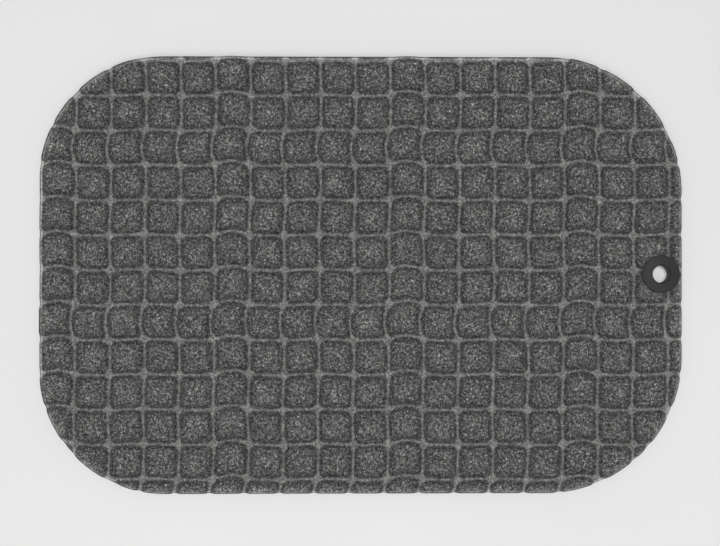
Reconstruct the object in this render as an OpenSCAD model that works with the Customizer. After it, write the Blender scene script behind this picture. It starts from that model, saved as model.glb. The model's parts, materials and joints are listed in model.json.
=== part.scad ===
// Anti-fatigue standing mat. A needle-punched fabric face with raised pads is bonded over a rubber
// tread sheet, a foam cushion and a non-slip backing, which stay a little back from its edge.
// A two-part snap grommet near one short side lets the mat hang.
// Sizes are in mm. Z is up, the underside lies at Z = 0 and the grommet is on the +X side.

/* [Outline] */
// Overall length, from the plain end to the grommet end
mat_length = 812; // [780:1:860]
// Width across the plain end
plain_end_width = 554; // [530:1:600]
// Width across the grommet end
grommet_end_width = 550; // [530:1:600]
// Corner radius at the plain end
plain_corner_r = 158; // [120:1:200]
// Corner radius at the grommet end
grommet_corner_r = 171; // [120:1:200]

/* [Layers] */
// Thickness of the non-slip backing
backing_t = 2.5; // [2.2:0.1:3.5]
// Thickness of the foam cushion
core_t = 10; // [8:0.5:16]
// Thickness of the tread sheet between its nubs
tread_t = 1.5; // [1:0.1:3]
// Thickness of the fabric in the channels, and height of the nubs under the pads
fabric_t = 2; // [1.5:0.1:3]
// Height of the pads above the channels
pad_h = 3; // [2:0.1:5]

/* [Pad pattern] */
// Distance from one channel to the next, both ways
pad_pitch = 44.25; // [36:0.25:50]
// Width of the channel between two pads
channel_w = 6; // [4:0.5:8]
// Radius of a pad's corners
pad_corner_r = 6; // [4:0.5:8]
// Number of pads from one arch in the channels to the next, both ways
arch_every = 5; // [4:1:8]
// Height of an arch, which spans one pad
arch_h = 4.5; // [0:0.5:5]
// Height of the ripple between the arches
ripple_h = 0.8; // [0:0.1:1.5]
// Lean of the upright channels towards the grommet end, in degrees
channel_lean = 0.45; // [0:0.05:1]
// Place of one upright channel, from the mat's centre along X
channel_x = -8.3; // [-12:0.1:-6]
// Place of one level channel, from the mat's centre along Y
channel_y = 7; // [5:0.1:9]

/* [Grommet] */
// Distance from the grommet's axis to the mat's end
grommet_inset = 25.5; // [25.5:0.5:40]
// Distance from the mat's centre line to the grommet's axis
grommet_y = 1.5; // [0:0.5:10]
// Radius of the clear hole through the grommet
bore_r = 11; // [8:0.5:12]
// Wall of the grommet's barrel
barrel_wall = 1.5; // [1.2:0.1:1.8]
// Radius of the upper flange
flange_r = 24; // [22:0.5:24]
// Thickness of the upper flange where it meets the bore
flange_t = 3.8; // [3.4:0.1:4.5]

/* [Hidden] */
$fn = 96;
// A column of pads under arches of the level channels, and a row beside arches of the upright ones
ARCH_COLUMN = 1;
ARCH_ROW = -2;
// Ripples from one arch to the next
RIPPLES = 2;
// First and last pad of a row, counted from the channel at channel_x
FIRST_COLUMN = -9;
LAST_COLUMN = 9;
// First and last row of pads, counted from the channel at channel_y
FIRST_ROW = -7;
LAST_ROW = 5;
// Lean of the long sides towards the grommet end
TAPER = (plain_end_width - grommet_end_width) / 2 / mat_length;
SIDE_LEAN = [sin(atan(TAPER)), cos(atan(TAPER))];
// Pressed strip of fabric left round the mat's edge
EDGE_STRIP = 1.4;
// How far the layers under the fabric stay back from its edge
UNDER_INSET = 1;
// Least rubber and fabric between a nub and the edge of its pad, of the mat or of the flange
NUB_INSET = 3;
nub_r = (pad_pitch - channel_w) / 2 - NUB_INSET;
// Heights of the faces between the layers
core_z = backing_t;
tread_z = core_z + core_t;
fabric_z = tread_z + tread_t;
channel_z = fabric_z + fabric_t;
// Grommet: its axis, the rounding of its upper flange, its lower ring, and the bead they snap on
GROMMET_AT = [mat_length / 2 - grommet_inset, grommet_y];
barrel_r = bore_r + barrel_wall;
SEAT_GAP = 0.5;
FLANGE_RIM_T = 2.2;
RIM_ROUND = 0.8;
BORE_BEVEL = 1.4;
RING_T = 1.2;
RING_WALL = 2.4;
RING_H = 4.4;
RING_FLANGE_R = 22;
SNAP_GAP = 0.1;
BEAD_OUT = 0.5;
BEAD_H = 0.9;
BEAD_Z = 2.6;
FLOOR_GAP = 0.2;
RECESS_DEPTH = FLOOR_GAP + RING_T;
HOLE_GAP = 0.3;
COLLAR_HOLE_R = barrel_r + SNAP_GAP + RING_WALL + HOLE_GAP;

// How far a channel is pushed aside at a place counted in pads. An arch spans the pad whose number
// is arched, and every pad that is a whole number of repeats away.
function push(place, arched) =
    let (past = place - arched - 0.5,
         off = past - arch_every * round(past / arch_every))
    (abs(off) < 0.5 ? arch_h * cos(180 * off) : 0) + ripple_h * cos(360 * RIPPLES * off / arch_every);

// Point of the wavy lattice, where whole numbers of u and v lie on channels
function lattice_point(u, v) =
    let (x = channel_x + pad_pitch * (u + v * tan(channel_lean)) - push(v, ARCH_ROW))
    [x, channel_y + pad_pitch * v + push((x - channel_x) / pad_pitch, ARCH_COLUMN)];

// One side and one corner of a rounded square of half size 1, before its quarter turns
function pad_side(round) =
    let (end = 1 - round, corner = 1 - round * (1 - cos(45)))
    [[1, -end], [1, 0], [1, end], [corner, corner]];

function quarter_turns(point, turns) =
    turns == 0 ? point : quarter_turns([-point[1], point[0]], turns - 1);

// Outline of the pad between channels column and column + 1
function pad_points(column, row) =
    let (half = (pad_pitch - channel_w) / 2, share = half / pad_pitch)
    [for (turns = [0:3], side = pad_side(pad_corner_r / half))
        let (p = quarter_turns(side, turns))
        lattice_point(column + 0.5 + share * p[0], row + 0.5 + share * p[1])];

// Height along Y of a long side at a place x, drawn in by inset
function long_side_y(x, inset) =
    (plain_end_width + grommet_end_width) / 4 - TAPER * x - inset / SIDE_LEAN[1];

// What a corner loses when it is rounded: all beyond the arc, between its two tangent points
module corner_waste(end_side, corner_r, inset) {
    reach = 2 * corner_r;
    x = end_side * (mat_length / 2 - corner_r);
    centre = [x, long_side_y(x, corner_r)];
    difference() {
        polygon([
            centre,
            centre + [end_side * reach, 0],
            centre + [end_side * reach, reach],
            centre + reach * SIDE_LEAN]);
        translate(centre) circle(r = corner_r - inset);
    }
}

// Outline of the mat, drawn in by inset: a slightly tapered rectangle with round corners
module mat_outline(inset) {
    x = mat_length / 2 - inset;
    difference() {
        polygon([
            [-x, -long_side_y(-x, inset)],
            [x, -long_side_y(x, inset)],
            [x, long_side_y(x, inset)],
            [-x, long_side_y(-x, inset)]]);
        for (flip = [0, 1])
            mirror([0, flip]) {
                corner_waste(-1, plain_corner_r, inset);
                corner_waste(1, grommet_corner_r, inset);
            }
    }
}

// The outline with the grommet's hole through it
module layer_outline(hole_r, inset) {
    difference() {
        mat_outline(inset);
        translate(GROMMET_AT) circle(r = hole_r);
    }
}

// All pads, cut off at the mat's edge and around the grommet's flange
module pad_field() {
    intersection() {
        mat_outline(EDGE_STRIP);
        difference() {
            union()
                for (column = [FIRST_COLUMN:LAST_COLUMN], row = [FIRST_ROW:LAST_ROW])
                    polygon(pad_points(column, row));
            translate(GROMMET_AT) circle(r = flange_r + SEAT_GAP);
        }
    }
}

// Distance from a point inside the outline to the outline
function edge_distance(p) =
    let (plain = p[0] < 0,
         r = plain ? plain_corner_r : grommet_corner_r,
         past_x = abs(p[0]) - (mat_length / 2 - r),
         past_y = abs(p[1]) - long_side_y(p[0], r))
    r - (past_x > 0 && past_y > 0 ? norm([past_x, past_y]) : max(past_x, past_y));

// Round nubs, one under each pad that is whole
module nub_field() {
    for (column = [FIRST_COLUMN:LAST_COLUMN], row = [FIRST_ROW:LAST_ROW]) {
        centre = lattice_point(column + 0.5, row + 0.5);
        flange_gap = norm(centre - GROMMET_AT) - flange_r - SEAT_GAP;
        if (min(edge_distance(centre), flange_gap) > nub_r + NUB_INSET)
            translate(centre) circle(r = nub_r);
    }
}

// Fabric face, pressed thin in the channels, with a pocket under each whole pad for its nub
module face_fabric() {
    color("dimgray") {
        translate([0, 0, fabric_z])
            linear_extrude(fabric_t)
                difference() {
                    layer_outline(barrel_r + HOLE_GAP, 0);
                    nub_field();
                }
        translate([0, 0, channel_z])
            linear_extrude(pad_h)
                pad_field();
    }
}

// Rubber sheet with a nub under every whole pad
module tread_rubber() {
    color("black") {
        translate([0, 0, tread_z])
            linear_extrude(tread_t)
                layer_outline(barrel_r + HOLE_GAP, UNDER_INSET);
        translate([0, 0, fabric_z])
            linear_extrude(fabric_t)
                nub_field();
    }
}

// Closed-cell foam that gives under the foot
module cushion_core() {
    color("slategray")
        translate([0, 0, core_z])
            linear_extrude(core_t)
                layer_outline(COLLAR_HOLE_R, UNDER_INSET);
}

// Non-slip sheet with a shallow recess that takes the grommet's lower flange
module backing_sheet() {
    color("darkslategray")
        difference() {
            linear_extrude(backing_t)
                layer_outline(COLLAR_HOLE_R, UNDER_INSET);
            translate(GROMMET_AT)
                translate([0, 0, -1])
                    cylinder(r = RING_FLANGE_R + HOLE_GAP, h = RECESS_DEPTH + 1);
        }
}

// Upper half of the grommet: a flange on the fabric and a barrel down through every layer
module grommet_upper() {
    rim_z = channel_z + FLANGE_RIM_T;
    top_z = channel_z + flange_t;
    color("black")
        translate(GROMMET_AT)
            rotate_extrude()
                polygon([
                    [bore_r, FLOOR_GAP],
                    [barrel_r, FLOOR_GAP],
                    [barrel_r, BEAD_Z],
                    [barrel_r + BEAD_OUT, BEAD_Z + BEAD_H / 2],
                    [barrel_r, BEAD_Z + BEAD_H],
                    [barrel_r, channel_z],
                    [flange_r, channel_z],
                    [flange_r, rim_z - RIM_ROUND],
                    [flange_r - RIM_ROUND, rim_z],
                    [bore_r + 2 * BORE_BEVEL, top_z],
                    [bore_r + BORE_BEVEL, top_z],
                    [bore_r, top_z - BORE_BEVEL]]);
}

// Lower half of the grommet: a ring that snaps over the bead on the barrel
module grommet_lower() {
    ring_in = barrel_r + SNAP_GAP;
    ring_out = ring_in + RING_WALL;
    color("black")
        translate(GROMMET_AT)
            rotate_extrude()
                polygon([
                    [ring_in, FLOOR_GAP],
                    [RING_FLANGE_R, FLOOR_GAP],
                    [RING_FLANGE_R, RECESS_DEPTH],
                    [ring_out, RECESS_DEPTH],
                    [ring_out, RING_H],
                    [ring_in, RING_H],
                    [ring_in, BEAD_Z + BEAD_H],
                    [ring_in + BEAD_OUT, BEAD_Z + BEAD_H / 2],
                    [ring_in, BEAD_Z]]);
}

face_fabric();
tread_rubber();
cushion_core();
backing_sheet();
grommet_upper();
grommet_lower();
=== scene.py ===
"""Anti-fatigue mat, seen straight from above.

The fabric face and the foam core are modelled here as soft goods. The tread sheet, the backing and
the two grommet halves are the CAD's own solids with better materials.
"""

import json
import math

import bpy
import numpy as np
from mathutils.geometry import delaunay_2d_cdt
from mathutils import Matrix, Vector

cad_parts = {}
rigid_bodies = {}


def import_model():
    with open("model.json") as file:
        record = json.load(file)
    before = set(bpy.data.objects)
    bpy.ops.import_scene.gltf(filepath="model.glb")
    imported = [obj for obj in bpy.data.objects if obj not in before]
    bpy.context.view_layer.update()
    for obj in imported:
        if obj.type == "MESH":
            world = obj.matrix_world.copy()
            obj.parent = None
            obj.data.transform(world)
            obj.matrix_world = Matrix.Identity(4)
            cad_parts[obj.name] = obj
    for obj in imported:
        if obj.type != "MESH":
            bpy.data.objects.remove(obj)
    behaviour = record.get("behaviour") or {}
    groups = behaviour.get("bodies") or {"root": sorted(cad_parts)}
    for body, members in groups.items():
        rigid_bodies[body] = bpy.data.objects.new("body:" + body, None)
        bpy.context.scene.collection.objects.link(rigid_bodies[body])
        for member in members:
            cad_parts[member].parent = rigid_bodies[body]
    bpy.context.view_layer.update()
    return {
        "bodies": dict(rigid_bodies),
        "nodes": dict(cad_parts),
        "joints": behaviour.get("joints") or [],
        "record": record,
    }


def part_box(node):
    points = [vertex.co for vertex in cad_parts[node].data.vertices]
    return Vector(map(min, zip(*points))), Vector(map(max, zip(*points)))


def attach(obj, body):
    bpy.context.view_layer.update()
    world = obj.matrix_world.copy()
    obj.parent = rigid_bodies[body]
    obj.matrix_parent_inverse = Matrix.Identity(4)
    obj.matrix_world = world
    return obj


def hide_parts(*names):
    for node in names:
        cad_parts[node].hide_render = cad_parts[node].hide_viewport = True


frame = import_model()
MM = 0.001

# ---- places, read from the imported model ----
FABRIC_LOW, FABRIC_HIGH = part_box("face_fabric")
CORE_LOW, CORE_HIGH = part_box("cushion_core")
GROMMET_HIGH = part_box("grommet_upper")[1]
HALF_LENGTH = FABRIC_HIGH[0]
EYE = [m for m in frame["record"]["mounts"] if m["name"] == "hanging_eye"][0]
EYE_X, EYE_Y = EYE["pos_m"][:2]
FLANGE_R = GROMMET_HIGH[0] - EYE_X

# ---- sizes that the CAD source states ----
PLAIN_HALF_WIDTH = 277 * MM
END_HALF_WIDTH = 275 * MM
PLAIN_CORNER_R = 158 * MM
END_CORNER_R = 171 * MM
PITCH = 44.25 * MM
CHANNEL_W = 6 * MM
PAD_CORNER_R = 6 * MM
CHANNEL_X, CHANNEL_Y = -8.3 * MM, 7 * MM
# The channels arch over one pad in every few, with low ripples between, and the upright ones lean
ARCH_EVERY = 5
ARCH_H = 4.5 * MM
RIPPLES = 2
RIPPLE_H = 0.8 * MM
ARCH_COLUMN, ARCH_ROW = 1, -2
CHANNEL_LEAN = math.tan(math.radians(0.45))
COLUMNS, ROWS = (-9, 9), (-7, 5)
FABRIC_T = 2 * MM
CHANNEL_Z = FABRIC_LOW[2] + FABRIC_T
FABRIC_HOLE_R = 12.8 * MM
CORE_HOLE_R = 15.3 * MM
NUB_INSET = 3 * MM
SEAT_GAP = 0.5 * MM
UNDER_INSET = HALF_LENGTH - CORE_HIGH[0]
NUB_R = (PITCH - CHANNEL_W) / 2 - NUB_INSET


def smooth_step(low, high, value):
    t = np.clip((value - low) / (high - low), 0, 1)
    return t * t * (3 - 2 * t)


# ---- the wavy lattice of channels ----
def push(place, arched):
    """How far a channel is pushed aside at a place counted in pads; pad number arched has an arch."""
    past = place - arched - 0.5
    off = past - ARCH_EVERY * np.round(past / ARCH_EVERY)
    arch = np.where(np.abs(off) < 0.5, ARCH_H * np.cos(np.pi * off), 0)
    return arch + RIPPLE_H * np.cos(2 * np.pi * RIPPLES * off / ARCH_EVERY)


def lattice_point(u, v):
    """The place of lattice coordinates u, v, where whole numbers lie on channels."""
    x = CHANNEL_X + PITCH * (u + v * CHANNEL_LEAN) - push(v, ARCH_ROW)
    return x, CHANNEL_Y + PITCH * v + push((x - CHANNEL_X) / PITCH, ARCH_COLUMN)


def lattice_place(x, y):
    """The lattice coordinates of a place."""
    v = (y - CHANNEL_Y - push((x - CHANNEL_X) / PITCH, ARCH_COLUMN)) / PITCH
    return (x - CHANNEL_X + push(v, ARCH_ROW)) / PITCH - v * CHANNEL_LEAN, v


def pad_depth(x, y):
    """How far a place lies inside the rim of its pad; negative in a channel."""
    half = (PITCH - CHANNEL_W) / 2
    u, v = lattice_place(x, y)
    across = np.abs(u - np.floor(u) - 0.5) * PITCH
    along = np.abs(v - np.floor(v) - 0.5) * PITCH
    qx, qy = across - (half - PAD_CORNER_R), along - (half - PAD_CORNER_R)
    outside = np.hypot(np.maximum(qx, 0), np.maximum(qy, 0))
    return PAD_CORNER_R - outside - np.minimum(np.maximum(qx, qy), 0)


# ---- the outline that every layer is cut to ----
TAPER = (PLAIN_HALF_WIDTH - END_HALF_WIDTH) / (2 * HALF_LENGTH)


def long_side_y(x, inset):
    middle = (PLAIN_HALF_WIDTH + END_HALF_WIDTH) / 2
    return middle - TAPER * x - inset / math.cos(math.atan(TAPER))


def corner_centre(side):
    r = END_CORNER_R if side > 0 else PLAIN_CORNER_R
    x = side * (HALF_LENGTH - r)
    return x, long_side_y(x, r), r


def edge_distance(x, y):
    """Distance from places to the outline, positive inside."""
    r = np.where(x < 0, PLAIN_CORNER_R, END_CORNER_R)
    past_x = np.abs(x) - (HALF_LENGTH - r)
    past_y = np.abs(y) - long_side_y(x, r)
    corner = np.hypot(np.maximum(past_x, 0), np.maximum(past_y, 0))
    return r - np.where((past_x > 0) & (past_y > 0), corner, np.maximum(past_x, past_y))


def outline(step, inset=0.0):
    """Points round the outline about step apart, and the outward direction at each."""
    lean = math.atan(TAPER)
    points, normals = [], []

    def line(a, b, normal):
        n = max(1, round(math.dist(a, b) / step))
        for k in range(n):
            points.append([a[i] + (b[i] - a[i]) * k / n for i in range(2)])
            normals.append(normal)

    def arc(centre, r, start, end):
        n = round(r * abs(end - start) / step)
        for k in range(n):
            angle = start + (end - start) * k / n
            normal = (math.cos(angle), math.sin(angle))
            points.append([centre[i] + r * normal[i] for i in range(2)])
            normals.append(normal)

    ex, ey, er = corner_centre(1)
    px, py, pr = corner_centre(-1)
    up = math.pi / 2 - lean
    top = (math.cos(up), math.sin(up))
    bottom = (top[0], -top[1])
    line((HALF_LENGTH, -ey), (HALF_LENGTH, ey), (1, 0))
    arc((ex, ey), er, 0, up)
    line((ex + er * top[0], ey + er * top[1]), (px + pr * top[0], py + pr * top[1]), top)
    arc((px, py), pr, up, math.pi)
    line((-HALF_LENGTH, py), (-HALF_LENGTH, -py), (-1, 0))
    arc((px, -py), pr, math.pi, 2 * math.pi - up)
    line(
        (px + pr * bottom[0], -py + pr * bottom[1]),
        (ex + er * bottom[0], -ey + er * bottom[1]),
        bottom,
    )
    arc((ex, -ey), er, -up, 0)
    points, normals = np.array(points), np.array(normals)
    return points - inset * normals, normals


# ---- meshing helpers ----
def circle_points(centre, r, n):
    angles = 2 * np.pi * np.arange(n) / n
    return np.stack([centre[0] + r * np.cos(angles), centre[1] + r * np.sin(angles)], 1)


def loop_edges(start, n):
    return [(start + k, start + (k + 1) % n) for k in range(n)]


def fill_flat(points, edges, keep):
    """Triangles over points that respect edges; keep tells which triangle middles stay."""
    coords, _, faces, *_ = delaunay_2d_cdt([tuple(p) for p in points], edges, [], 1, 1e-7)
    coords = np.array([tuple(c) for c in coords])
    faces = np.array([f for f in faces if len(f) == 3])
    middles = coords[faces].mean(1)
    return coords, faces[keep(middles[:, 0], middles[:, 1])]


def new_object(name, vertices, faces, material):
    mesh = bpy.data.meshes.new(name)
    mesh.from_pydata(vertices, [], faces)
    mesh.validate()
    mesh.materials.append(material)
    mesh.shade_smooth()
    mesh.set_sharp_from_angle(angle=math.radians(48))
    obj = bpy.data.objects.new(name, mesh)
    bpy.context.scene.collection.objects.link(obj)
    return obj


# ---- swelling of the pads, by cloth simulation ----
SIM_CELLS = 10
SIM_COLUMNS, SIM_ROWS = (-10, 10), (-8, 7)
SIM_FRAMES = 16
SIM_PRESSURE = 50.0
SIM_SLACK = 0.004
SIM_BENDING = 5.0
SWELL_H = 0.95 * MM
SWELL_CAP = 1.35 * MM


def pad_swell():
    """Height that each place of the felt swells to, on an even grid of lattice places.

    The felt is a cloth held down along the channels and pushed up from below, each pad by its own
    share of the pressure.
    """
    columns = SIM_CELLS * (SIM_COLUMNS[1] - SIM_COLUMNS[0]) + 1
    rows = SIM_CELLS * (SIM_ROWS[1] - SIM_ROWS[0]) + 1
    u, v = np.meshgrid(np.linspace(*SIM_COLUMNS, columns), np.linspace(*SIM_ROWS, rows))
    rng = np.random.default_rng(11)
    x, y = lattice_point(u, v)
    free = smooth_step(-1 * MM, 2 * MM, pad_depth(x, y))
    start = rng.normal(0, 0.05 * MM, u.shape) * free
    pad_fill = rng.uniform(0.55, 1.0, (rows // SIM_CELLS + 1, columns // SIM_CELLS + 1))
    fill = pad_fill[np.arange(rows)[:, None] // SIM_CELLS, np.arange(columns) // SIM_CELLS]
    cloth = cloth_object(np.stack([x, y, start], -1), free < 0.5, fill)
    for frame in range(1, SIM_FRAMES + 1):
        bpy.context.scene.frame_set(frame)
    result = cloth.evaluated_get(bpy.context.evaluated_depsgraph_get())
    places = np.empty(3 * u.size)
    result.data.vertices.foreach_get("co", places)
    bpy.data.objects.remove(cloth)
    bpy.context.scene.frame_set(1)
    height = places.reshape(-1, 3)[:, 2].reshape(u.shape)
    middles = height[SIM_CELLS // 2 :: SIM_CELLS, SIM_CELLS // 2 :: SIM_CELLS]
    return np.clip(height * SWELL_H / np.median(middles), 0, SWELL_CAP)


def cloth_object(places, held, fill):
    """A sheet over a grid of places, with Blender's cloth on it and no gravity."""
    index = np.arange(held.size).reshape(held.shape)
    corners = [index[:-1, :-1], index[:-1, 1:], index[1:, 1:], index[1:, :-1]]
    mesh = bpy.data.meshes.new("swelling")
    mesh.from_pydata(
        places.reshape(-1, 3).tolist(), [], np.stack(corners, -1).reshape(-1, 4).tolist()
    )
    cloth = bpy.data.objects.new("swelling", mesh)
    bpy.context.scene.collection.objects.link(cloth)
    pins = cloth.vertex_groups.new(name="held")
    pins.add(np.flatnonzero(held).tolist(), 1.0, "REPLACE")
    share = cloth.vertex_groups.new(name="fill")
    for level in np.unique(fill):
        share.add(np.flatnonzero(fill == level).tolist(), float(level), "REPLACE")
    modifier = cloth.modifiers.new("cloth", "CLOTH")
    settings = modifier.settings
    settings.quality = 4
    settings.use_pressure = True
    settings.uniform_pressure_force = SIM_PRESSURE
    settings.vertex_group_mass = "held"
    settings.vertex_group_pressure = "fill"
    settings.shrink_min = -SIM_SLACK
    settings.bending_stiffness = SIM_BENDING
    settings.effector_weights.gravity = 0
    modifier.collision_settings.use_collision = False
    modifier.point_cache.frame_end = SIM_FRAMES
    return cloth


def swell_at(swell, x, y):
    """The swelling at places, between the four nearest points of its grid."""
    u, v = lattice_place(x, y)
    column = np.clip((u - SIM_COLUMNS[0]) * SIM_CELLS, 0, swell.shape[1] - 1.001)
    row = np.clip((v - SIM_ROWS[0]) * SIM_CELLS, 0, swell.shape[0] - 1.001)
    c, r = np.floor(column).astype(int), np.floor(row).astype(int)
    right, up = smooth_step(0, 1, column - c), smooth_step(0, 1, row - r)
    low = swell[r, c] * (1 - right) + swell[r, c + 1] * right
    high = swell[r + 1, c] * (1 - right) + swell[r + 1, c + 1] * right
    return low * (1 - up) + high * up


# ---- fabric face ----
RIM_LIFT_FROM, RIM_LIFT_TO = -0.9 * MM, 2.4 * MM
RIM_H = 2.2 * MM
# How far the cut edge stands out past the outline at a channel and at a pad
EDGE_OUT_LOW, EDGE_OUT_HIGH = 0.3 * MM, 1.6 * MM
# How far the fabric is bonded off the middle of the layers under it
FACE_SHIFT = (-0.7 * MM, 0.9 * MM)
EDGE_INSETS = [0, 0.5 * MM, 1.1 * MM, 1.9 * MM, 2.9 * MM, 4.2 * MM]
SEAT_FROM, SEAT_TO = FLANGE_R + 0.2 * MM, FLANGE_R + 3.6 * MM
SEAT_RADII = [FABRIC_HOLE_R + k * MM for k in (0, 4, 8, 11, 11.8, 12.6, 13.5, 14.6, 16)]
SEAT_N = 96
# A nub's pocket is a little wider and higher than the nub
POCKET_R = NUB_R + 0.1 * MM
POCKET_TOP = CHANNEL_Z + 0.05 * MM
POCKET_N = 32
OUTLINE_STEP = 2 * MM
# Lattice lines of the mesh inside one pad pitch, close together at the channels
CELL_STEPS = [0, 0.028, 0.052, 0.076, 0.1, 0.13, 0.175, 0.24, 0.32, 0.41, 0.5]


def edge_wobble(points, normals):
    """How far the cut edge stands out past the outline: full at pads, drawn in at channels."""
    inner = points - 3 * MM * normals
    padded = smooth_step(-2.5 * MM, 4 * MM, pad_depth(inner[:, 0], inner[:, 1]))
    seat = np.hypot(inner[:, 0] - EYE_X, inner[:, 1] - EYE_Y)
    padded = np.maximum(padded, 1 - smooth_step(SEAT_TO, SEAT_TO + 12 * MM, seat))
    return EDGE_OUT_LOW + (EDGE_OUT_HIGH - EDGE_OUT_LOW) * padded + normals @ FACE_SHIFT


def unevenness(x, y):
    """Slow rise and fall of the pads, a few tenths of a millimetre."""
    a = np.sin(61 * x + 2.1 * np.sin(37 * y)) * np.sin(53 * y + 1.7 * np.sin(29 * x + 1))
    b = np.sin(233 * x + 1.3 * np.sin(171 * y)) * np.sin(197 * y + 1.9 * np.sin(151 * x))
    return 0.12 * MM * a + 0.08 * MM * b


def ragged(x, y):
    """Small wandering of the pads' rims."""
    a = np.sin(410 * x + 1.9 * np.sin(263 * y + 1)) * np.sin(367 * y + 2.2 * np.sin(301 * x))
    b = np.sin(797 * x + 1.1 * np.sin(611 * y)) * np.sin(709 * y + 1.4 * np.sin(523 * x + 2))
    return 0.45 * MM * a + 0.25 * MM * b


def face_height(swell, x, y, inset):
    """Height of the fabric's top over places that lie inset from the cut edge."""
    seat = np.hypot(x - EYE_X, y - EYE_Y)
    free = smooth_step(SEAT_FROM, SEAT_TO, seat) * smooth_step(0.4 * MM, 3.4 * MM, inset)
    rim = smooth_step(RIM_LIFT_FROM, RIM_LIFT_TO, pad_depth(x, y) + ragged(x, y))
    pad = free * (rim * (RIM_H + unevenness(x, y)) + swell_at(swell, x, y))
    edge = 0.7 * MM * (1 - np.clip(inset / (2 * MM), 0, 1)) ** 2
    return CHANNEL_Z + pad - edge


def lattice_nodes():
    """The mesh points that follow the lattice, where they are clear of the edge and the seat."""
    steps = CELL_STEPS + [1 - s for s in CELL_STEPS[-2:0:-1]]
    us = np.array([c + s for c in range(*SIM_COLUMNS) for s in steps])
    vs = np.array([r + s for r in range(*SIM_ROWS) for s in steps])
    x, y = lattice_point(*np.meshgrid(us, vs))
    x, y = x.ravel(), y.ravel()
    clear = (edge_distance(x, y) > EDGE_INSETS[-1] + 0.8 * MM) & (
        np.hypot(x - EYE_X, y - EYE_Y) > SEAT_RADII[-1] + 0.8 * MM
    )
    return np.stack([x[clear], y[clear]], 1)


def off_circle(centre, r, n):
    """A test for triangle middles that lie outside a circle drawn with n points."""
    limit = r * (1 + 2 * math.cos(2 * math.pi / n) + 3 * math.cos(math.pi / n)) / 6
    return lambda x, y: np.hypot(x - centre[0], y - centre[1]) > limit


def nub_centres():
    """The middles of the whole pads, which have a nub of the tread sheet under them."""
    centres = []
    for column in range(COLUMNS[0], COLUMNS[1] + 1):
        for row in range(ROWS[0], ROWS[1] + 1):
            x, y = lattice_point(column + 0.5, row + 0.5)
            gap = min(edge_distance(x, y), math.hypot(x - EYE_X, y - EYE_Y) - FLANGE_R - SEAT_GAP)
            if gap > NUB_R + NUB_INSET:
                centres.append((float(x), float(y)))
    return centres


def fabric_face(material):
    """The needle-punched face: raised pads above, and a pocket for each nub below."""
    ring, normal = outline(OUTLINE_STEP)
    wobble = edge_wobble(ring, normal)
    n = len(ring)
    eye = (EYE_X, EYE_Y)
    points, insets = [], []
    for inset in EDGE_INSETS:
        fade = 1 - inset / EDGE_INSETS[-1]
        points.append(ring + ((wobble * fade - inset)[:, None]) * normal)
        insets.append(np.full(n, inset))
    hole_start = n * len(EDGE_INSETS)
    for r in SEAT_RADII:
        places = circle_points(eye, r, SEAT_N)
        inside = edge_distance(places[:, 0], places[:, 1])
        keep = (inside > EDGE_INSETS[-1] + 0.5 * MM) | (r == SEAT_RADII[0])
        points.append(places[keep])
        insets.append(inside[keep])
    grid = lattice_nodes()
    points.append(grid)
    insets.append(edge_distance(grid[:, 0], grid[:, 1]))
    points, insets = np.concatenate(points), np.concatenate(insets)
    edges = loop_edges(0, n) + loop_edges(hole_start, SEAT_N)
    top, top_faces = fill_flat(points, edges, off_circle(eye, FABRIC_HOLE_R, SEAT_N))
    heights = face_height(pad_swell(), top[:, 0], top[:, 1], insets)
    top = np.column_stack([top, heights])

    under = [points[:n], points[hole_start : hole_start + SEAT_N]]
    edges = loop_edges(0, n) + loop_edges(n, SEAT_N)
    tests = [off_circle(eye, FABRIC_HOLE_R, SEAT_N)]
    pocket_starts = []
    for centre in nub_centres():
        start = n + SEAT_N + POCKET_N * len(pocket_starts)
        pocket_starts.append(start)
        under.append(circle_points(centre, POCKET_R, POCKET_N))
        edges += loop_edges(start, POCKET_N)
        tests.append(off_circle(centre, POCKET_R, POCKET_N))
    bottom, bottom_faces = fill_flat(
        np.concatenate(under), edges, lambda x, y: np.all([t(x, y) for t in tests], axis=0)
    )
    bottom = np.column_stack([bottom, np.full(len(bottom), FABRIC_LOW[2])])
    first_pocket = n + SEAT_N
    caps = bottom[first_pocket:].copy()
    caps[:, 2] = POCKET_TOP

    base, cap_base = len(top), len(top) + len(bottom)
    vertices = np.concatenate([top, bottom, caps])
    faces = [tuple(f) for f in top_faces.tolist()]
    faces += [(base + c, base + b, base + a) for a, b, c in bottom_faces.tolist()]
    faces += wall(0, base, n)
    faces += wall(base + n, hole_start, SEAT_N)
    for start in pocket_starts:
        low, high = base + start, cap_base + start - first_pocket
        faces += wall(low, high, POCKET_N)
        faces.append(tuple(high + k for k in range(POCKET_N - 1, -1, -1)))
    obj = new_object("mat_face", vertices.tolist(), faces, material)
    x, y = vertices[:, 0], vertices[:, 1]
    depth = (pad_depth(x, y) + ragged(x, y)) / MM
    add_attribute(obj, "pad_depth", depth)
    edge = np.full(len(vertices), 0.0)
    edge[:base] = insets / MM
    add_attribute(obj, "edge_inset", edge)
    return obj


def wall(upper, lower, n):
    """Quads from one closed loop of n points to another, facing out for upper above lower."""
    return [
        (lower + k, lower + (k + 1) % n, upper + (k + 1) % n, upper + k) for k in range(n)
    ]


def add_attribute(obj, name, values):
    layer = obj.data.attributes.new(name, "FLOAT", "POINT")
    layer.data.foreach_set("value", np.asarray(values, np.float32))


# ---- foam core ----
FOAM_LEVELS = 9
FOAM_BULGE, FOAM_FLARE = 0.35 * MM, 0.5 * MM


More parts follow.
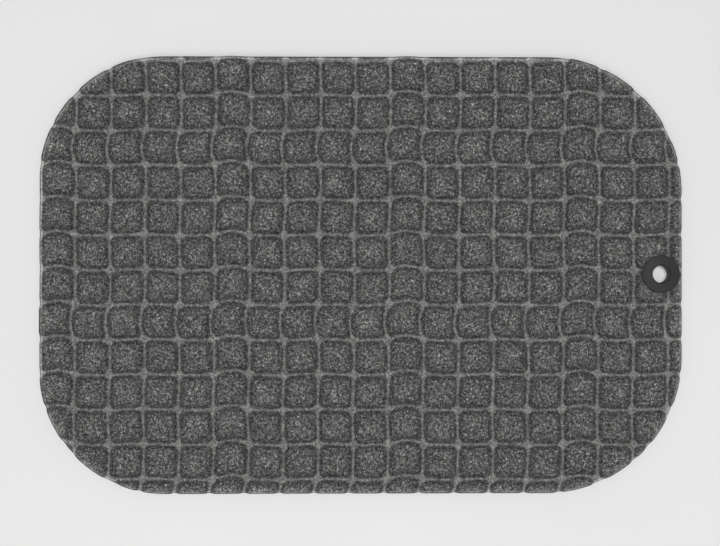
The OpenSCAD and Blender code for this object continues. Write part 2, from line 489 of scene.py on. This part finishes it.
def foam_core(material):
    """Die-cut foam: its side bulges a little and flares out at the foot."""
    ring, normal = outline(3 * MM, UNDER_INSET)
    n = len(ring)
    eye = (EYE_X, EYE_Y)
    hole = circle_points(eye, CORE_HOLE_R, SEAT_N)
    low, high = CORE_LOW[2], CORE_HIGH[2]
    flat, flat_faces = fill_flat(
        np.concatenate([ring, hole]),
        loop_edges(0, n) + loop_edges(n, SEAT_N),
        off_circle(eye, CORE_HOLE_R, SEAT_N),
    )
    rng = np.random.default_rng(7)
    vertices, levels = [], FOAM_LEVELS
    for k in range(levels + 1):
        t = k / levels
        swell = FOAM_BULGE * math.sin(math.pi * t) + FOAM_FLARE * (1 - t) ** 3
        cut = rng.normal(0, 0.06 * MM, n) * (0 < k < levels)
        places = flat.copy()
        places[:n] += (swell + cut)[:, None] * normal
        vertices.append(np.column_stack([places, np.full(len(flat), low + t * (high - low))]))
    size = len(flat)
    faces = [(c, b, a) for a, b, c in flat_faces.tolist()]
    top = levels * size
    faces += [(top + a, top + b, top + c) for a, b, c in flat_faces.tolist()]
    for k in range(levels):
        faces += wall((k + 1) * size, k * size, n)
        faces += wall(k * size + n, (k + 1) * size + n, SEAT_N)
    return new_object("foam_core", np.concatenate(vertices).tolist(), faces, material)


# ---- materials ----
class Nodes:
    """A material's node tree, with short ways to add and join nodes."""

    def __init__(self, name):
        self.material = bpy.data.materials.new(name)
        self.material.use_nodes = True
        self.tree = self.material.node_tree
        self.shader = self.tree.nodes["Principled BSDF"]
        self.place = self.add("ShaderNodeTexCoord").outputs["Object"]

    def add(self, kind, inputs=None, **settings):
        node = self.tree.nodes.new(kind)
        for key, value in settings.items():
            setattr(node, key, value)
        for key, value in (inputs or {}).items():
            if isinstance(value, bpy.types.NodeSocket):
                self.tree.links.new(value, node.inputs[key])
            else:
                node.inputs[key].default_value = value
        return node

    def noise(self, scale, detail=2.0, rough=0.5, at=None):
        inputs = {"Vector": at or self.place, "Scale": scale, "Detail": detail, "Roughness": rough}
        return self.add("ShaderNodeTexNoise", inputs).outputs["Fac"]

    def stretched(self, scale, turn, stretch):
        """A place turned about Z and squeezed, for noise that looks like laid fibres."""
        turned = self.add(
            "ShaderNodeMapping",
            {"Vector": self.place, "Rotation": (0, 0, turn), "Scale": (1, stretch, 1)},
        )
        return self.noise(scale, 1.5, 0.5, turned.outputs[0])

    def math(self, operation, a, b=0.0, c=0.0):
        return self.add("ShaderNodeMath", {0: a, 1: b, 2: c}, operation=operation).outputs[0]

    def centred(self, value, gain):
        """Noise moved to lie about zero and widened."""
        return self.math("MULTIPLY_ADD", value, gain, -0.5 * gain)

    def total(self, *values):
        result = values[0]
        for value in values[1:]:
            result = self.math("ADD", result, value)
        return result

    def remap(self, value, low, high, to_low, to_high, smooth=False):
        kind = "SMOOTHSTEP" if smooth else "LINEAR"
        inputs = {"Value": value, "From Min": low, "From Max": high}
        inputs.update({"To Min": to_low, "To Max": to_high})
        return self.add("ShaderNodeMapRange", inputs, interpolation_type=kind).outputs[0]

    def ramp(self, value, stops):
        """Grey values at places from 0 to 1."""
        node = self.add("ShaderNodeValToRGB", {0: value})
        elements = node.color_ramp.elements
        while len(elements) < len(stops):
            elements.new(0.5)
        for element, (place, grey) in zip(elements, stops):
            element.position = place
            element.color = (grey, grey, grey, 1)
        return node.outputs["Color"]

    def tint(self, value, dark, light):
        mixed = self.add("ShaderNodeMix", data_type="RGBA")
        self.tree.links.new(value, mixed.inputs["Factor"])
        mixed.inputs[6].default_value = (*dark, 1)
        mixed.inputs[7].default_value = (*light, 1)
        return mixed.outputs[2]

    def scaled(self, colour, value):
        """A colour made darker or lighter by a value."""
        node = self.add("ShaderNodeVectorMath", {0: colour}, operation="SCALE")
        self.tree.links.new(value, node.inputs["Scale"])
        return node.outputs[0]

    def bump(self, height, strength, distance):
        inputs = {"Height": height, "Strength": strength, "Distance": distance}
        return self.add("ShaderNodeBump", inputs).outputs[0]

    def finish(self, **sockets):
        for key, value in sockets.items():
            socket = self.shader.inputs[key.replace("_", " ")]
            if isinstance(value, bpy.types.NodeSocket):
                self.tree.links.new(value, socket)
            else:
                socket.default_value = value
        return self.material


FOAM_TONE = 0.045
TREAD_TONE, BACKING_TONE, GROMMET_TONE = 0.022, 0.02, 0.02
COOL_FIBRE = (0.985, 0.98, 0.985)
WARM_FIBRE = (1.015, 0.98, 0.94)
FELT_TONE = 0.088
# Tone of the felt from the middle of a crossing of channels to the middle of a pad: lighter pressed
# channels, then painted shade darkening the creases at the pads' feet, easing off towards the pad's
# middle
FELT_TONE_AND_PAINTED_SHADE = [
    (0.0, 2.05),
    (0.12, 1.95),
    (0.185, 1.78),
    (0.24, 0.95),
    (0.29, 0.56),
    (0.37, 0.6),
    (0.5, 0.85),
    (0.72, 1.0),
    (1.0, 1.03),
]


def felt_material():
    """Heathered charcoal needle-felt: light pressed channels, painted shade in the creases at the
    pads' feet, and a light strip with a painted shaded line along the cut edge.
    """
    m = Nodes("felt_face")
    depth = m.add("ShaderNodeAttribute", attribute_name="pad_depth").outputs["Fac"]
    inset = m.add("ShaderNodeAttribute", attribute_name="edge_inset").outputs["Fac"]
    wander = m.math("MULTIPLY_ADD", m.noise(240, 2.0, 0.5), 2.6, -1.3)
    place = m.remap(m.math("ADD", depth, wander), -7.0, 17.0, 0.0, 1.0)
    # The felt's tone across a pad: lighter pressed channels, and painted shade darkening the creases
    # at the pads' feet
    tone_and_painted_shade = m.ramp(place, FELT_TONE_AND_PAINTED_SHADE)
    # Along the cut edge: lighter towards the edge, brightest 1.5 to 2.2 mm in, then painted shade
    # darkening the outermost millimetre
    edge_tone_and_painted_shade = m.math(
        "MULTIPLY",
        m.remap(inset, 3.5, 11.0, 1.3, 1.0, True),
        m.math(
            "MULTIPLY",
            m.remap(inset, 2.2, 3.2, 2.0, 1.0, True),
            m.remap(inset, 0.8, 1.5, 0.42, 1.0, True),
        ),
    )

    # Clumps of light and dark fibre, coarse to fine, then single strands
    clump = m.centred(m.noise(330, 2.0, 0.6), 5.0)
    fleck = m.centred(m.noise(800, 2.0, 0.6), 5.0)
    speck = m.centred(m.noise(2100, 1.0, 0.5), 3.0)
    strands = [m.stretched(2600, turn, 0.11) for turn in (0.3, 1.35, 2.4)]
    light_strand = m.math("MAXIMUM", m.math("MAXIMUM", strands[0], strands[1]), strands[2])
    dark_strand = m.math("MINIMUM", m.math("MINIMUM", strands[0], strands[1]), strands[2])
    blotch = m.centred(m.noise(45, 2.0, 0.5), 0.5)
    grain = m.total(clump, fleck, speck, blotch)
    grain = m.total(grain, m.remap(light_strand, 0.55, 0.75, 0.0, 0.7))
    grain = m.total(grain, m.remap(dark_strand, 0.25, 0.45, -0.7, 0.0))
    # Felt pressed flat in the channels shows less of its flecks
    pressed = m.remap(depth, -3.0, 1.5, 0.55, 1.0, True)
    pressed = m.math("MULTIPLY", pressed, m.remap(inset, 2.0, 4.5, 0.6, 1.0, True))
    grain = m.math("EXPONENT", m.math("MULTIPLY", grain, pressed))
    value = m.math("MULTIPLY", m.math("MULTIPLY", grain, tone_and_painted_shade), edge_tone_and_painted_shade)
    value = m.math("MULTIPLY", value, FELT_TONE)
    warm = m.tint(m.remap(m.noise(170, 2.0, 0.5), 0.35, 0.65, 0.0, 1.0), COOL_FIBRE, WARM_FIBRE)
    colour = m.scaled(warm, value)
    height = m.total(m.math("MULTIPLY", clump, 0.5), m.math("MULTIPLY", fleck, 0.4), light_strand)
    return m.finish(
        Base_Color=colour,
        Roughness=m.remap(speck, -0.6, 0.6, 0.86, 1.0),
        Specular_IOR_Level=0.12,
        Sheen_Weight=0.1,
        Normal=m.bump(height, 0.5, 0.5 * MM),
    )


def rubber_material(name, tone, grain_scale, strength):
    """Matt moulded rubber with a fine grain and slight bloom."""
    m = Nodes(name)
    grain = m.noise(grain_scale, 3.0, 0.6)
    bloom = m.noise(35, 3.0, 0.55)
    scuff = m.stretched(500, 0.9, 0.08)
    value = m.math("MULTIPLY", m.remap(bloom, 0.3, 0.7, 0.8, 1.25), m.remap(grain, 0.3, 0.7, 0.9, 1.1))
    value = m.math("MULTIPLY", value, tone)
    rough = m.math("ADD", m.remap(grain, 0.3, 0.7, 0.52, 0.68), m.remap(scuff, 0.5, 0.8, 0.0, 0.12))
    return m.finish(
        Base_Color=m.tint(value, (0, 0, 0), (1.0, 1.0, 1.02)),
        Roughness=rough,
        Specular_IOR_Level=0.4,
        Normal=m.bump(grain, strength, 0.15 * MM),
    )


def foam_material():
    """Closed-cell foam cut through its cells."""
    m = Nodes("cut_foam")
    cells = m.add("ShaderNodeTexVoronoi", {"Vector": m.place, "Scale": 1300.0}).outputs["Distance"]
    large = m.add("ShaderNodeTexVoronoi", {"Vector": m.place, "Scale": 520.0}).outputs["Distance"]
    cell = m.math("MULTIPLY", m.remap(cells, 0.0, 0.6, 1.2, 0.7), m.remap(large, 0.0, 0.7, 1.1, 0.85))
    value = m.math("MULTIPLY", cell, m.remap(m.noise(30), 0.3, 0.7, 0.9, 1.1))
    value = m.math("MULTIPLY", value, FOAM_TONE)
    height = m.math("ADD", cells, large)
    return m.finish(
        Base_Color=m.tint(value, (0, 0, 0), (1.0, 1.0, 1.03)),
        Roughness=m.remap(cells, 0.0, 0.6, 0.95, 0.75),
        Specular_IOR_Level=0.25,
        Normal=m.bump(height, 0.6, 0.4 * MM),
    )


def grommet_material():
    """Matt black moulded plastic, with faint turning rings about the grommet's axis."""
    m = Nodes("grommet_plastic")
    centred = m.add("ShaderNodeMapping", {"Vector": m.place, "Location": (-EYE_X, -EYE_Y, 0)})
    rings = m.add(
        "ShaderNodeTexWave",
        {"Vector": centred.outputs[0], "Scale": 130.0, "Distortion": 0.3, "Detail": 1.0},
        wave_type="RINGS",
        rings_direction="Z",
    ).outputs["Fac"]
    grain = m.noise(1800, 2.0, 0.6)
    worn = m.noise(90, 3.0, 0.6)
    value = m.math("MULTIPLY", m.remap(worn, 0.3, 0.7, 0.8, 1.25), m.remap(rings, 0, 1, 0.84, 1.16))
    value = m.math("MULTIPLY", value, GROMMET_TONE)
    height = m.math("ADD", m.math("MULTIPLY", rings, 0.35), m.math("MULTIPLY", grain, 0.6))
    return m.finish(
        Base_Color=m.tint(value, (0, 0, 0), (1.0, 1.0, 1.02)),
        Roughness=m.remap(grain, 0.3, 0.7, 0.54, 0.68),
        Specular_IOR_Level=0.3,
        Normal=m.bump(height, 0.4, 0.1 * MM),
    )


def floor_material():
    m = Nodes("pale_floor")
    soft = m.noise(3, 2.0, 0.5)
    value = m.remap(soft, 0.3, 0.7, 0.79, 0.81)
    return m.finish(Base_Color=m.tint(value, (0, 0, 0), (1, 1, 1)), Roughness=0.9)


# ---- camera, light and floor ----
# Height of the camera over the fabric, where it stands, and the width that it sees there
CAMERA_OVER = 1.6
CAMERA_X, CAMERA_Y = -1 * MM, 3 * MM
VIEW_WIDTH = 0.911
SENSOR_WIDTH = 36
FLOOR_HALF = 16.0
# Strength of the studio tent's light at the horizon and overhead, and where one turns to the other
TENT_LOW, TENT_HIGH = 0.8, 0.24
TENT_FROM, TENT_TO = 0.04, 0.3


def add_camera():
    data = bpy.data.cameras.new("camera")
    data.sensor_width = SENSOR_WIDTH
    data.lens = SENSOR_WIDTH * CAMERA_OVER / VIEW_WIDTH
    camera = bpy.data.objects.new("camera", data)
    camera.location = (CAMERA_X, CAMERA_Y, FABRIC_HIGH[2] + CAMERA_OVER)
    bpy.context.scene.collection.objects.link(camera)
    bpy.context.scene.camera = camera


def add_area(name, location, target, size, power):
    """A square softbox, turned towards its target."""
    data = bpy.data.lights.new(name, "AREA")
    data.shape = "SQUARE"
    data.size = size
    data.energy = power
    light = bpy.data.objects.new(name, data)
    light.location = location
    direction = np.array(target) - np.array(location)
    yaw = math.atan2(direction[1], direction[0])
    tilt = math.atan2(math.hypot(direction[0], direction[1]), -direction[2])
    light.rotation_euler = (0, -tilt, yaw + math.pi)
    bpy.context.scene.collection.objects.link(light)


def add_sun(name, tilt, yaw, spread, power):
    """An even light from overhead. Its angles are in degrees."""
    data = bpy.data.lights.new(name, "SUN")
    data.angle = math.radians(spread)
    data.energy = power
    light = bpy.data.objects.new(name, data)
    light.rotation_euler = (0, math.radians(tilt), math.radians(yaw))
    bpy.context.scene.collection.objects.link(light)


def add_floor():
    mesh = bpy.data.meshes.new("floor")
    corners = [(-1, -1), (1, -1), (1, 1), (-1, 1)]
    places = [(FLOOR_HALF * x, FLOOR_HALF * y, 0) for x, y in corners]
    mesh.from_pydata(places, [], [(0, 1, 2, 3)])
    mesh.materials.append(floor_material())
    floor = bpy.data.objects.new("floor", mesh)
    bpy.context.scene.collection.objects.link(floor)


def add_world():
    """A studio tent: pale at the horizon, dimmer overhead where the softboxes hang."""
    world = bpy.data.worlds.new("studio")
    world.use_nodes = True
    nodes, links = world.node_tree.nodes, world.node_tree.links
    split = nodes.new("ShaderNodeSeparateXYZ")
    links.new(nodes.new("ShaderNodeTexCoord").outputs["Generated"], split.inputs[0])
    fall = nodes.new("ShaderNodeMapRange")
    links.new(split.outputs["Z"], fall.inputs["Value"])
    fall.inputs["From Min"].default_value = TENT_FROM
    fall.inputs["From Max"].default_value = TENT_TO
    fall.inputs["To Min"].default_value = TENT_LOW
    fall.inputs["To Max"].default_value = TENT_HIGH
    background = nodes["Background"]
    background.inputs["Color"].default_value = (1, 1, 1, 1)
    links.new(fall.outputs[0], background.inputs["Strength"])
    bpy.context.scene.world = world


def dress(node, material):
    """Gives a CAD node a better material."""
    obj = bpy.data.objects[node]
    obj.data.materials.clear()
    obj.data.materials.append(material)


def main():
    bpy.context.scene.view_settings.view_transform = "Standard"
    add_camera()
    add_world()
    add_sun("ceiling_light", tilt=6, yaw=50, spread=18, power=1.75)
    add_area("key_light", (0.0, 0.1, 2.2), target=(0, 0, 0), size=0.8, power=3.5)
    add_area("low_light", (-0.1, -0.5, 1.7), target=(-0.03, -0.42, 0), size=0.7, power=5)
    add_floor()

    face = fabric_face(felt_material())
    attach(face, "root")
    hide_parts("face_fabric")

    foam = foam_core(foam_material())
    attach(foam, "root")
    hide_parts("cushion_core")

    dress("tread_rubber", rubber_material("tread_sheet", TREAD_TONE, 900, 0.3))
    dress("backing_sheet", rubber_material("backing_grip", BACKING_TONE, 420, 0.6))
    plastic = grommet_material()
    dress("grommet_upper", plastic)
    dress("grommet_lower", plastic)


main()
